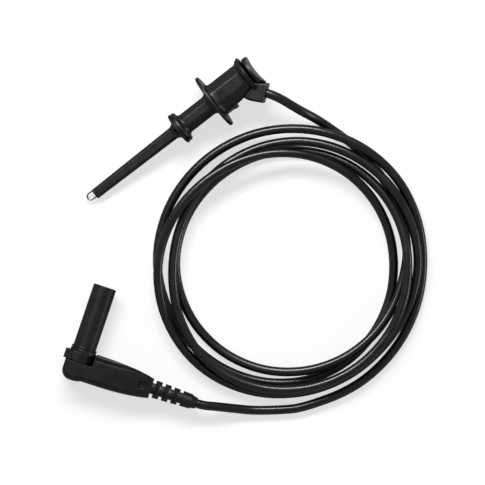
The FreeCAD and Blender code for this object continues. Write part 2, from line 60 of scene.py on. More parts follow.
# Where the clip and the plug lie on the bench, in millimetres and degrees, as in the solids
place = {
    "flangeMiddle": (18.51, 0.43, 7.895),
    "roll": 4.0,  # the clip leans a little on its finger flange
    "plugCorner": (-75.02, -43.11, 5.6),
    "plugTurn": -56.45,
}
pressAxis = Vector(frame["joints"][0]["axis"])  # from the thumb rest to the hook
clipTilt = math.asin(-pressAxis.z)
clipPlace = (Matrix.Translation(Vector(place["flangeMiddle"]) * mm)
             @ Matrix.Rotation(-clipTilt, 4, "Y")
             @ Matrix.Rotation(-math.radians(place["roll"]), 4, "X"))
plugPlace = (Matrix.Translation(Vector(place["plugCorner"]) * mm)
             @ Matrix.Rotation(math.radians(place["plugTurn"]), 4, "Z"))


# Camera and light. The photograph looks straight down, turned against the clip.
view = {
    "turn": 37.83,
    "middle": (-3.90, -44.62),
    "height": 2.2,
    "planeHeight": 0.004,
    "width": 0.16975,  # what the frame takes in at the lead's height
    "sensor": 36.0,
    "clip": (0.01, 10),
}
light = {
    "horizonStrength": 0.7,
    "overheadStrength": 0.26,
    "overheadRise": 0.6,  # how far up the sky's strength changes
}
softboxes = {  # azimuth is counted left of the frame's top, zenith from straight above
    "keySoftbox": {"azimuth": 16.0, "zenith": 42.0, "distance": 0.85,
                   "size": (0.65, 0.2), "power": 9.6},
    "fillSoftbox": {"azimuth": -95.0, "zenith": 78.0, "distance": 0.9,
                    "size": (0.5, 0.08), "power": 2.4},
}
paper = {
    "reach": 1.5,
    "colour": "949494",
    "glow": 0.66,  # what the camera, glossy and clear rays see on top of the paper's own light
}
frameTurn = Matrix.Rotation(-math.radians(view["turn"]), 3, "Z")
frameMiddle = Vector((*view["middle"], 0)) * mm


def makeCamera():
    data = bpy.data.cameras.new("photoCamera")
    camera = bpy.data.objects.new("photoCamera", data)
    bpy.context.scene.collection.objects.link(camera)
    data.sensor_width = view["sensor"]
    data.lens = view["sensor"] * (view["height"] - view["planeHeight"]) / view["width"]
    data.clip_start, data.clip_end = view["clip"]
    camera.location = frameMiddle + Vector((0, 0, view["height"]))
    camera.rotation_euler = (0, 0, -math.radians(view["turn"]))
    bpy.context.scene.camera = camera


def softbox(name, azimuth, zenith, distance, size, power):
    # a softbox turned to the middle of the frame
    azimuth, zenith = math.radians(azimuth), math.radians(zenith)
    away = frameTurn @ Vector((-math.sin(azimuth), math.cos(azimuth), 0))
    offset = away * math.sin(zenith) + Vector((0, 0, math.cos(zenith)))
    data = bpy.data.lights.new(name, "AREA")
    data.shape = "RECTANGLE"
    data.size, data.size_y = size
    data.energy = power
    lamp = bpy.data.objects.new(name, data)
    bpy.context.scene.collection.objects.link(lamp)
    lamp.location = frameMiddle + offset * distance
    lamp.rotation_euler = (-offset).to_track_quat("-Z", "Y").to_euler()


def addNode(tree, kind, settings=None, inputs=None):
    node = tree.nodes.new(kind)
    for name, value in (settings or {}).items():
        setattr(node, name, value)
    for name, value in (inputs or {}).items():
        socket = node.inputs[name]
        if isinstance(value, bpy.types.NodeSocket):
            tree.links.new(value, socket)
        else:
            socket.default_value = value
    return node


def hexColour(code):
    parts = [int(code[i:i + 2], 16) / 255 for i in (0, 2, 4)]
    linear = [c / 12.92 if c <= 0.04045 else ((c + 0.055) / 1.055) ** 2.4 for c in parts]
    return (*linear, 1.0)


def makeWorld():
    # a plain white sky, brighter towards the horizon
    world = bpy.data.worlds.new("studio")
    bpy.context.scene.world = world
    world.use_nodes = True
    tree = world.node_tree
    tree.nodes.clear()
    along = addNode(tree, "ShaderNodeTexCoord").outputs["Generated"]
    rise = addNode(tree, "ShaderNodeSeparateXYZ", {}, {0: along}).outputs["Z"]
    strength = addNode(tree, "ShaderNodeMapRange", {}, {
        "Value": rise, "From Max": light["overheadRise"], "To Min": light["horizonStrength"],
        "To Max": light["overheadStrength"]})
    back = addNode(tree, "ShaderNodeBackground", {}, {"Color": hexColour("FFFFFF"),
                                                      "Strength": strength.outputs[0]})
    addNode(tree, "ShaderNodeOutputWorld", {}, {"Surface": back.outputs[0]})


def makeFloor():
    reach = paper["reach"]
    mesh = bpy.data.meshes.new("bench")
    corners = [(-reach, -reach, 0), (reach, -reach, 0), (reach, reach, 0), (-reach, reach, 0)]
    mesh.from_pydata(corners, [], [(0, 1, 2, 3)])
    floor = bpy.data.objects.new("bench", mesh)
    bpy.context.scene.collection.objects.link(floor)
    material = bpy.data.materials.new("whitePaper")
    material.use_nodes = True
    tree = material.node_tree
    tree.nodes.clear()
    rays = addNode(tree, "ShaderNodeLightPath")
    seen = addNode(tree, "ShaderNodeMath", {"operation": "MAXIMUM"},
                   {0: rays.outputs["Is Camera Ray"], 1: rays.outputs["Is Glossy Ray"]})
    seen = addNode(tree, "ShaderNodeMath", {"operation": "MAXIMUM"},
                   {0: seen.outputs[0], 1: rays.outputs["Is Transmission Ray"]})
    lift = addNode(tree, "ShaderNodeMath", {"operation": "MULTIPLY"},
                   {0: seen.outputs[0], 1: paper["glow"]})
    matt = addNode(tree, "ShaderNodeBsdfDiffuse", {}, {"Color": hexColour(paper["colour"])})
    glow = addNode(tree, "ShaderNodeEmission", {}, {"Color": hexColour("FFFFFF"),
                                                    "Strength": lift.outputs[0]})
    both = addNode(tree, "ShaderNodeAddShader", {}, {0: matt.outputs[0], 1: glow.outputs[0]})
    addNode(tree, "ShaderNodeOutputMaterial", {}, {"Surface": both.outputs[0]})
    mesh.materials.append(material)


makeCamera()
makeWorld()
makeFloor()
for name, setting in softboxes.items():
    softbox(name, **setting)
bpy.context.scene.view_settings.view_transform = "Standard"
print("studio ready")


# Finishes. Patches, grain and depths are in millimetres.
jacket = {
    "patch": 9.0,
    "colours": ("040505", "0A0B0B"),
    "dieLines": (14.0, 40.0, 1.0),  # how fast they change along the lead and round it
    "lineDepth": 0.06,
    "roughness": (0.22, 0.32),
    "specular": 0.65,
}
metalPatch = 1.5
metalDepth = 0.02


def newMaterial(name):
    # an empty material, its tree, and the place on the piece that its textures follow
    material = bpy.data.materials.new(name)
    material.use_nodes = True
    material.node_tree.nodes.clear()
    where = addNode(material.node_tree, "ShaderNodeTexCoord").outputs["Object"]
    return material, material.node_tree, where


def mottled(tree, source, size, dark, pale):
    # a colour that wanders between two near ones over patches of the given size
    noise = addNode(tree, "ShaderNodeTexNoise", {}, {"Vector": source, "Scale": 1 / size,
                                                     "Detail": 3.0})
    ramp = addNode(tree, "ShaderNodeValToRGB", {}, {"Fac": noise.outputs[0]})
    ramp.color_ramp.elements[0].position = 0.35
    ramp.color_ramp.elements[0].color = hexColour(dark)
    ramp.color_ramp.elements[1].position = 0.65
    ramp.color_ramp.elements[1].color = hexColour(pale)
    return noise, ramp


def glancing(tree, level):
    # a matt skin: its gloss fades towards the edges that are seen at a slant
    facing = addNode(tree, "ShaderNodeLayerWeight", {}, {"Blend": 0.5}).outputs["Facing"]
    return addNode(tree, "ShaderNodeMapRange", {}, {"Value": facing, "From Max": 0.5, "To Min": level,
                                                    "To Max": 0.06 * level}).outputs[0]


def spread(tree, noise, low, high):
    # the middle of a noise's range, brought to the range from low to high
    return addNode(tree, "ShaderNodeMapRange", {}, {"Value": noise.outputs[0], "From Min": 0.3,
                                                    "From Max": 0.7, "To Min": low,
                                                    "To Max": high}).outputs[0]


def bumped(tree, noise, strength, depth):
    return addNode(tree, "ShaderNodeBump", {}, {"Height": noise.outputs[0], "Strength": strength,
                                                "Distance": depth * mm}).outputs[0]


def surfaced(material, inputs):
    tree = material.node_tree
    shader = addNode(tree, "ShaderNodeBsdfPrincipled", {}, inputs)
    addNode(tree, "ShaderNodeOutputMaterial", {}, {"Surface": shader.outputs[0]})
    return material


def moulding(name, dark, pale, patch, grain, depth, rough, specular):
    # moulded plastic: fine spark-eroded grain, faint flow patches in colour and gloss
    material, tree, where = newMaterial(name)
    noise, ramp = mottled(tree, where, patch * mm, dark, pale)
    fine = addNode(tree, "ShaderNodeTexNoise", {}, {"Vector": where, "Scale": 1 / (grain * mm),
                                                    "Detail": 4.0, "Roughness": 0.6})
    return surfaced(material, {
        "Base Color": ramp.outputs[0], "Roughness": spread(tree, noise, rough - 0.05, rough + 0.06),
        "IOR": 1.5, "Specular IOR Level": glancing(tree, specular),
        "Normal": bumped(tree, fine, 0.35, depth)})


def leadJacket(name):
    # soft extruded jacket: satin, with faint die lines along it and a little handling polish
    material, tree, where = newMaterial(name)
    around = addNode(tree, "ShaderNodeUVMap", {"uv_map": "along"}).outputs[0]
    stretched = addNode(tree, "ShaderNodeMapping", {}, {"Vector": around, "Scale": jacket["dieLines"]})
    lines = addNode(tree, "ShaderNodeTexNoise", {}, {"Vector": stretched.outputs[0], "Scale": 1.0,
                                                     "Detail": 3.0})
    noise, ramp = mottled(tree, where, jacket["patch"] * mm, *jacket["colours"])
    return surfaced(material, {
        "Base Color": ramp.outputs[0], "Roughness": spread(tree, noise, *jacket["roughness"]),
        "IOR": 1.5, "Specular IOR Level": glancing(tree, jacket["specular"]),
        "Normal": bumped(tree, lines, 0.25, jacket["lineDepth"])})


def metal(name, dark, pale, rough, scratch, stretch):
    # bare or plated metal: colour patches and fine marks from drawing or turning
    material, tree, where = newMaterial(name)
    _, ramp = mottled(tree, where, metalPatch * mm, dark, pale)
    marks = addNode(tree, "ShaderNodeMapping", {}, {"Vector": where, "Scale": stretch})
    fine = addNode(tree, "ShaderNodeTexNoise", {}, {"Vector": marks.outputs[0],
                                                    "Scale": 1 / (scratch * mm), "Detail": 3.0})
    return surfaced(material, {
        "Base Color": ramp.outputs[0], "Metallic": 1.0,
        "Roughness": spread(tree, fine, rough - 0.06, rough + 0.06),
        "Normal": bumped(tree, fine, 0.2, metalDepth)})


finishes = {
    "black_nylon": moulding("glassFilledNylon", "080A09", "0F1211", 3.0, 0.45, 0.03, 0.40, 0.45),
    "black_moulding": moulding("softTouchMoulding", "070808", "0D0E0E", 4.0, 0.5, 0.03, 0.40, 0.4),
    "soft_boot": moulding("mattElastomer", "070808", "0D0E0E", 2.5, 0.4, 0.04, 0.44, 0.4),
    "insulator": moulding("blackAcetal", "0E0E0F", "161617", 2.0, 0.4, 0.02, 0.38, 0.45),
    "black_lead": leadJacket("softPvcJacket"),
    "hook_steel": metal("drawnSpringSteel", "76787A", "96989A", 0.22, 0.12, (1, 6, 6)),
    "spring_steel": metal("oiledSpringWire", "8E9093", "B0B2B4", 0.3, 0.12, (4, 4, 1)),
    "nickel_plate": metal("nickelPlate", "C2BDB4", "D8D4CC", 0.2, 0.2, (1, 1, 6)),
    "turned_brass": metal("turnedBrass", "B68E48", "D6B36A", 0.26, 0.15, (8, 1, 1)),
    "copper_strands": metal("bareCopper", "B06A4A", "D08A66", 0.3, 0.12, (1, 4, 4)),
}
slotOf = {row["node"]: row["material_slot"] for row in frame["record"]["subparts"]}
for node, solid in frame["nodes"].items():
    solid.data.materials.clear()
    solid.data.materials.append(finishes[slotOf[node]])
print("finishes ready")


# Making meshes
creaseAngle = 32.0  # edges flatter than this are shaded smooth


def makeMesh(name, points, faces, slot, uv=None):
    # a closed mesh of points in metres, turned the right way out
    mesh = bpy.data.meshes.new(name)
    mesh.from_pydata([tuple(point) for point in points], [], faces)
    form = bmesh.new()
    form.from_mesh(mesh)
    if form.calc_volume(signed=True) < 0:
        bmesh.ops.reverse_faces(form, faces=form.faces[:])
    if uv is not None:
        layer = form.loops.layers.uv.new("along")
        for face in form.faces:
            for loop in face.loops:
                loop[layer].uv = uv[loop.vert.index]
    form.to_mesh(mesh)
    form.free()
    mesh.materials.append(finishes[slot])
    piece = bpy.data.objects.new(name, mesh)
    bpy.context.scene.collection.objects.link(piece)
    piece["slot"] = slot
    shadeSoftly(piece)
    return piece


def shadeSoftly(piece):
    for polygon in piece.data.polygons:
        polygon.use_smooth = True
    piece.data.set_sharp_from_angle(angle=math.radians(creaseAngle))


def takeResult(piece):
    # the modifiers' result becomes the piece's own mesh
    ready = piece.evaluated_get(bpy.context.evaluated_depsgraph_get())
    mesh = bpy.data.meshes.new_from_object(ready)
    piece.modifiers.clear()
    piece.data = mesh
    mesh.name = piece.name
    if not mesh.materials:
        mesh.materials.append(finishes[piece["slot"]])


def settle(piece):
    takeResult(piece)
    shadeSoftly(piece)


def combine(piece, tool, operation):
    # union or difference with another closed mesh, which is used up
    change = piece.modifiers.new("combine", "BOOLEAN")
    change.operation = operation
    change.solver = "EXACT"
    change.object = tool
    settle(piece)
    bpy.data.objects.remove(tool)


def softenEdges(piece, width, angle=40.0, segments=2):
    change = piece.modifiers.new("soften", "BEVEL")
    change.limit_method = "ANGLE"
    change.angle_limit = math.radians(angle)
    change.width = width * mm
    change.segments = segments
    change.use_clamp_overlap = True
    settle(piece)


def hand(piece, body, node):
    # the finished piece, with its flats shaded flat, rides on its body and stands for its solid
    change = piece.modifiers.new("evenShading", "WEIGHTED_NORMAL")
    change.keep_sharp = True
    takeResult(piece)
    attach(piece, body)
    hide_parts(node)
    return piece


def softProfile(corners, steps=4, closed=False):
    # an outline of (along, out, fillet) corners with each corner rounded to its fillet
    line = []
    count = len(corners)
    for index, (along, out, fillet) in enumerate(corners):
        here = Vector((along, out))
        if fillet == 0 or (not closed and index in (0, count - 1)):
            line.append(here)
            continue
        back = Vector(corners[index - 1][:2]) - here
        ahead = Vector(corners[(index + 1) % count][:2]) - here
        half = back.angle(ahead) / 2
        reach = min(fillet / math.tan(half), 0.49 * back.length, 0.49 * ahead.length)
        radius = reach * math.tan(half)
        inward = (back.normalized() + ahead.normalized()).normalized()
        middle = here + inward * (radius / math.sin(half))
        first = here + back.normalized() * reach - middle
        last = here + ahead.normalized() * reach - middle
        sweep = first.angle_signed(last)
        for step in range(steps + 1):
            turn = -sweep * step / steps
            line.append(middle + Matrix.Rotation(turn, 2) @ first)
    return line


def anglesRound(sides):
    return [2 * math.pi * step / sides for step in range(sides)]


def joinRings(rings, closed):
    # points and faces of rings joined in order: round again to the first, or capped at both ends
    sides = len(rings[0])
    points = [point for ring in rings for point in ring]
    faces = []
    for index in range(len(rings) if closed else len(rings) - 1):
        a = index * sides
        b = (index + 1) % len(rings) * sides
        for step in range(sides):
            after = (step + 1) % sides
            faces.append((a + step, a + after, b + after, b + step))
    if not closed:
        faces.append(tuple(reversed(range(sides))))
        faces.append(tuple(range(len(points) - sides, len(points))))
    return points, faces


def placed(points, matrix):
    return [matrix @ (Vector(point) * mm) for point in points]


def turnedPiece(name, profile, sides, matrix, slot, along="x", closed=True):
    # a solid of revolution from an (along, radius) outline about the x or the y axis
    rings = []
    for reach, radius in profile:
        across = [(radius * math.cos(turn), radius * math.sin(turn)) for turn in anglesRound(sides)]
        rings.append([(reach, a, b) if along == "x" else (a, reach, b) for a, b in across])
    points, faces = joinRings(rings, closed)
    return makeMesh(name, placed(points, matrix), faces, slot)


def blockPiece(name, low, high, matrix, slot):
    (x0, y0, z0), (x1, y1, z1) = low, high
    corners = [(x, y, z) for x in (x0, x1) for y in (y0, y1) for z in (z0, z1)]
    faces = [(0, 1, 3, 2), (4, 6, 7, 5), (0, 4, 5, 1), (2, 3, 7, 6), (0, 2, 6, 4), (1, 5, 7, 3)]
    return makeMesh(name, placed(corners, matrix), faces, slot)


def quarter(start, end, leaveAlong):
    # a quarter of an ellipse, leaving along the axis or across it
    steps = 8
    (a, b), (c, d) = start, end
    line = []
    for step in range(steps + 1):
        turn = math.pi / 2 * step / steps
        near, far = math.sin(turn), 1 - math.cos(turn)
        if not leaveAlong:
            near, far = far, near
        line.append((a + (c - a) * near, b + (d - b) * far))
    return line


# The grabber's shell: a grooved collar, an eight-sided barrel, the finger flange between two
# trumpets, and an eight-sided body with a cup for the thumb rest. Profiles are rows of
# (place along the clip, radius, fillet).
shell = {
    "back": 15.6,
    "sides": 240,
    "cornerPower": 30,  # how crisp the eight edges are
    "barrelHalf": 3.6,
    "bodyHalf": 5.65,
    "rimHalf": (10.35, 7.9),
    "rimThick": 1.2,
    "rimRound": 0.42,
    "rimFeet": (6.6, 8.0),
    "frontFoot": (6.2, 5.2),
    "rearFoot": (7.5, 6.7),
    "frontTrumpet": 2.2,
    "rearTrumpet": 2.1,
    "collar": [(-16.2, 2.6, 0), (-16.2, 5.9, 0.6), (-15.25, 5.95, 0.15), (-15.1, 5.5, 0.1),
               (-14.85, 5.5, 0.1), (-14.7, 5.85, 0.25), (-13.75, 5.5, 0.4), (-13.75, 4.4, 0.15),
               (-12.9, 3.75, 0.6), (-12.5, 3.66, 0)],
    "barrelStart": [(-12.3, 3.64, 0.6), (-12.1, 3.6, 1.0)],  # place, half width, share of eight sides
    "bodyPlaces": [6.0, 10.0, 13.1],
    "flare": [(13.45, 5.8, 0.8), (13.75, 6.1, 0.5), (14.0, 6.5, 0.2)],  # likewise
    "lip": [(14.1, 6.65, 0), (14.75, 6.75, 0.05), (14.82, 7.1, 0.12), (15.12, 7.1, 0.05),
            (15.17, 6.9, 0.04), (15.27, 6.9, 0.04), (15.32, 7.1, 0.05), (15.6, 7.1, 0.12),
            (15.6, 6.3, 0.12), (14.3, 6.3, 0.25), (14.3, 5.25, 0.15), (13.3, 3.9, 0.2),
            (2.2, 3.9, 0.15), (2.2, 3.0, 0.1), (0.2, 3.0, 0.1), (0.2, 2.25, 0.1),
            (-16.2, 2.25, 0)],
    "slotFront": 6.4,
    "slotHalves": (2.2, 4.6),
    "slotInner": 1.5,
    "slotRound": 0.6,
    "sunk": 0.5,  # how deep the raised blocks start inside the body
    # (side, lowest and highest corner on it, height, rounding) of the raised blocks
    "blocks": {"panel": (1, (3.4, -2.0), (12.0, 2.0), 0.08, 0.12),
               "tooth": (-1, (4.1, -2.0), (5.9, 2.0), 1.1, 0.3),
               "pad": (-1, (0.6, -2.0), (4.2, 2.0), 0.8, 0.3)},
}


def shellRing(along, halfWidth, halfHeight, eight):
    # one ring of the shell: an oval at eight = 0, an eight-sided section at eight = 1
    ring = []
    power = shell["cornerPower"]
    for turn in anglesRound(shell["sides"]):
        total = sum(abs(math.cos(turn - math.pi / 4 * side)) ** power for side in range(4))
        reach = 1 - eight + eight * total ** (-1 / power)
        ring.append((along, halfWidth * reach * math.cos(turn), halfHeight * reach * math.sin(turn)))
    return ring


def trumpetStations(line, foot, low):
    # stations that swell from the eight-sided part to the flange's oval foot
    stations = []
    for along, out in line:
        share = (out - low) / (foot[0] - low)
        stations.append((along, out, low + share * (foot[1] - low), (1 - share) ** 2))
    return stations


def flangeStations():
    # the thin oval rim, whose height follows its width
    half, (rimWidth, rimHeight) = shell["rimThick"] / 2, shell["rimHalf"]
    front, rear = shell["rimFeet"]
    stations = []
    for along, out in softProfile([(-half, front, 0), (-half, rimWidth, shell["rimRound"]),
                                   (half, rimWidth, shell["rimRound"]), (half, rear, 0)]):
        wide, high = shell["frontFoot"] if along < 0 else shell["rearFoot"]
        share = (out - wide) / (rimWidth - wide)
        stations.append((along, out, high + share * (rimHeight - high), 0.0))
    return stations


def shellStations():
    # (place along, half width, half height, share of eight sides) from the collar to the lip,
    # and back through the bore
    barrel, body = shell["barrelHalf"], shell["bodyHalf"]
    half, front, rear = shell["rimThick"] / 2, shell["frontFoot"], shell["rearFoot"]
    stations = [(along, out, out, 0.0) for along, out in softProfile(shell["collar"])]
    stations += [(along, out, out, eight) for along, out, eight in shell["barrelStart"]]
    stations += trumpetStations(
        quarter((-half - shell["frontTrumpet"], barrel), (-half, front[0]), True), front, barrel)
    stations += flangeStations()
    stations += trumpetStations(
        quarter((half, rear[0]), (half + shell["rearTrumpet"], body), False), rear, body)
    stations += [(along, body, body, 1.0) for along in shell["bodyPlaces"]]
    stations += [(along, out, out, eight) for along, out, eight in shell["flare"]]
    return stations + [(along, out, out, 0.0) for along, out in softProfile(shell["lip"])]


def makeShell():
    points, faces = joinRings([shellRing(*station) for station in shellStations()], True)
    piece = makeMesh("clipShell", placed(points, clipPlace), faces, "black_nylon")
    body, sunk = shell["bodyHalf"], shell["sunk"]
    for name, (side, (x0, a0), (x1, a1), proud, fillet) in shell["blocks"].items():
        if side > 0:
            low, high = (x0, a0, body - sunk), (x1, a1, body + proud)
        else:
            low, high = (x0, -body - proud, a0), (x1, -body + sunk, a1)
        bar = blockPiece(name, low, high, clipPlace, "black_nylon")
        softenEdges(bar, fillet)
        combine(piece, bar, "UNION")
    near, far = shell["slotHalves"]
    front, back = shell["slotFront"], shell["back"] + 1
    wedge = [(x, y, z) for y in (-shell["slotInner"], -2 * body)
             for x, z in ((front, -near), (back, -far), (back, far), (front, near))]
    sides = [(0, 1, 2, 3), (7, 6, 5, 4), (0, 4, 5, 1), (1, 5, 6, 2), (2, 6, 7, 3), (3, 7, 4, 0)]
    cutter = makeMesh("slotCutter", placed(wedge, clipPlace), sides, "black_nylon")
    softenEdges(cutter, shell["slotRound"], segments=3)
    combine(piece, cutter, "DIFFERENCE")
    return hand(piece, "test_lead", "barrel_body")


clipShell = makeShell()
print("shell made,", len(clipShell.data.polygons), "faces")


# The nozzle: a long spout with a flat top, flared where it meets the collar
nozzle = {
    "tip": -53.25,
    "tipRadius": 1.87,
    "tipRound": 0.18,
    "tipRun": 3,
    "neck": -18.6,
    "neckRadius": 2.3,
    "collar": -16.2,
    "flareRadius": 4.6,
    "spigotEnd": -6.7,
    "spigotRadius": 2.15,
    "bore": 1.4,
    "flatShare": 0.8,  # the flat top's height over the radius
    "flatPower": 60,  # how crisp the flat's edges are
    "sides": 96,
}


def nozzleRing(along, radius, flat):
    # one ring of the spout: round at flat = 0, with its full flat top at flat = 1
    ring = []
    power = nozzle["flatPower"]
    for turn in anglesRound(nozzle["sides"]):
        rise = max(math.sin(turn), 0) / nozzle["flatShare"]
        reach = 1 - flat + flat * (1 + rise ** power) ** (-1 / power)
        ring.append((along, radius * reach * math.cos(turn), radius * reach * math.sin(turn)))
    return ring


def makeNozzle():
    tip, tipRadius, run, bore = (nozzle[key] for key in ("tip", "tipRadius", "tipRun", "bore"))
    neck, neckRadius = nozzle["neck"], nozzle["neckRadius"]
    collar, flare = nozzle["collar"], nozzle["flareRadius"]
    spigotEnd, spigot = nozzle["spigotEnd"], nozzle["spigotRadius"]
    taper = (neckRadius - tipRadius) / (neck - tip)
    front = softProfile([(tip, bore, 0), (tip, tipRadius, nozzle["tipRound"]),
                         (tip + run, tipRadius + run * taper, 0)])
    rings = [nozzleRing(*front[0], 0.0)] + [nozzleRing(*spot, 1.0) for spot in front[1:]]
    for along, radius in quarter((neck, neckRadius), (collar, flare), True):
        share = (radius - neckRadius) / (flare - neckRadius)
        rings.append(nozzleRing(along, radius, (1 - share) ** 2))
    rings += [nozzleRing(*spot, 0.0) for spot in
              ((collar, spigot), (spigotEnd, spigot), (spigotEnd, bore))]
    points, faces = joinRings(rings, True)
    resting = [(x, y, max(z, 0)) for x, y, z in placed(points, clipPlace)]  # flat on the bench
    piece = makeMesh("nozzleSpout", resting, faces, "black_nylon")
    hand(piece, "test_lead", "nozzle_tube")


makeNozzle()


# The plunger: piston, neck and dished thumb rest, with the square horn that the lead leaves through
plunger = {
    "pistonFront": 7.6,
    "pistonRadius": 3.8,
    "neckRun": 0.9,
    "neckRadius": 5.0,
    "headFront": 16.4,
    "headBack": 18.6,
    "headRadius": 6.1,
    "headFlat": 5.4,  # the side away from the horn is cut straight
    "headRound": 0.25,
    "axisRadius": 0.05,
    "dishRadius": 16.0,
    "dishDepth": 1.1,
    "dishShift": 0.2,
    "hornAngles": (-50.5, -52.3),
    "hornRound": 0.9,
    "hornEndRound": 0.85,
    "hornEase": ((0.07, 0.06), (0.13, 0.2)),  # onward, and drawn in, past the horn's last section
    "grommetRadius": 2.95,
    "grommetDepth": 1.8,
    # middle, half width and half height of the horn from its root to its end
    "horn": [((10.5, -2.6), 2.4, 2.2), ((11.6, -4.0), 3.0, 2.4), ((12.8, -5.5), 3.35, 2.85),
             ((14.6, -7.3), 3.5, 3.25), ((16.25, -8.93), 3.6, 3.45)],
}


def hornRing(middle, halfWidth, halfHeight, angle, fillet):
    # rounded rectangle square to the horn's own direction
    turn = math.radians(angle)
    across = Vector((-math.sin(turn), math.cos(turn), 0))
    corners = [(-halfWidth, -halfHeight, fillet), (halfWidth, -halfHeight, fillet),
               (halfWidth, halfHeight, fillet), (-halfWidth, halfHeight, fillet)]
    return [Vector((*middle, 0)) + across * out + Vector((0, 0, up))
            for out, up in softProfile(corners, 5, True)]


def makeHorn():
    # the horn, and the middle of its end face in the clip's own frame
    first, last = plunger["hornAngles"]
    count = len(plunger["horn"]) - 1
    rings = [hornRing(middle, wide, high, first + (last - first) * index / count, plunger["hornRound"])
             for index, (middle, wide, high) in enumerate(plunger["horn"])]
    middle, wide, high = plunger["horn"][-1]
    ahead = Vector((math.cos(math.radians(last)), math.sin(math.radians(last))))
    for onward, less in plunger["hornEase"]:
        end = Vector(middle) + ahead * onward
        rings.append(hornRing(end, wide - less, high - less, last, plunger["hornEndRound"]))
    points, faces = joinRings(rings, False)
    return makeMesh("horn", placed(points, clipPlace), faces, "black_nylon"), end


def makePlunger():
    front, back = plunger["headFront"], plunger["headBack"]
    radius, piston, axis = plunger["headRadius"], plunger["pistonRadius"], plunger["axisRadius"]
    profile = softProfile([(plunger["pistonFront"], axis, 0), (plunger["pistonFront"], piston, 0.25),
                           (front - plunger["neckRun"], piston, 0.2),
                           (front, plunger["neckRadius"], 0.15), (front, radius, 0.35),
                           (back, radius, 0.3), (back, axis, 0)], 5)
    piece = turnedPiece("plungerThumb", profile, 144, clipPlace, "black_nylon", closed=False)
    dishRadius, past = plunger["dishRadius"], 2 * radius
    dish = [(-past, dishRadius), (past, dishRadius)]
    middle = Vector((back - plunger["dishDepth"] + dishRadius, plunger["dishShift"], 0)) * mm
    upright = clipPlace @ Matrix.Translation(middle) @ Matrix.Rotation(-math.pi / 2, 4, "Y")
    cutter = turnedPiece("dishCutter", dish, 320, upright, "black_nylon", closed=False)
    combine(piece, cutter, "DIFFERENCE")
    cutter = blockPiece("flatCutter", (front - 1, plunger["headFlat"], -past), (back + 1, past, past),
                        clipPlace, "black_nylon")
    combine(piece, cutter, "DIFFERENCE")
    softenEdges(piece, plunger["headRound"], 50.0)
    horn, end = makeHorn()
    combine(piece, horn, "UNION")
    aim = (clipPlace @ Matrix.Translation(Vector((*end, 0)) * mm)
           @ Matrix.Rotation(math.radians(plunger["hornAngles"][1]), 4, "Z"))
    recess = [(-plunger["grommetDepth"], plunger["grommetRadius"]), (1.0, plunger["grommetRadius"])]
    cutter = turnedPiece("recessCutter", recess, 96, aim, "black_nylon", closed=False)
    combine(piece, cutter, "DIFFERENCE")
    return hand(piece, "plunger", "plunger_button")


plungerThumb = makePlunger()
print("plunger made,", len(plungerThumb.data.polygons), "faces")


# The plug's elbow: a tapered grip with a ledge along the mould's parting line and a rounded heel.
# Along is counted from the plug's corner, low is the heel's side and high the shroud's.
elbow = {
    "back": -5.1,
    "end": 26.6,
    "heelRadius": 3.4,
    "heelLow": 6.35,
    "heelEnd": 1.9,
    "heelBlend": (-1.4, 0.8),
    "backRound": 1.3,
    "gripLow": (5.7, 1.95),  # half width on the heel's side and how much of it is lost at the end
    "gripHigh": (5.1, 1.75),
    "gripStart": 4.7,
    "gripStep": 0.5,
    "gripBlend": 0.6,
    "mouth": 0.6,
    "height": (5.3, 2.0),
    "heightFrom": 6,
    "heightPower": 1.5,
    "chamfer": (0.12, 0.75, 0.45),  # everywhere, more on the grip, more beside the ledge
    "chamferRound": (0.2, 0.45),
    "ledge": (0.06, 0.35),
    "ledgeHeight": 2.6,
    "ledgeShare": 0.6,
    "ledgeLean": 0.4,
    "ledgeEnd": 17.0,
    "ledgeFade": (-8, 4),
    "lowRound": (0.35, 2.0),
    "recess": (23.2, 2.8, 1.0),  # middle, size and depth
    "recessRound": 0.25,
}


def smooth(low, high, value):
    share = min(max((value - low) / (high - low), 0), 1)
    return share * share * (3 - 2 * share)


def gripTop(along):
    # half height of the grip, which thins towards the boot
    tall, lost = elbow["height"]
    start = elbow["heightFrom"]
    return tall - lost * max((along - start) / (elbow["end"] - start), 0) ** elbow["heightPower"]


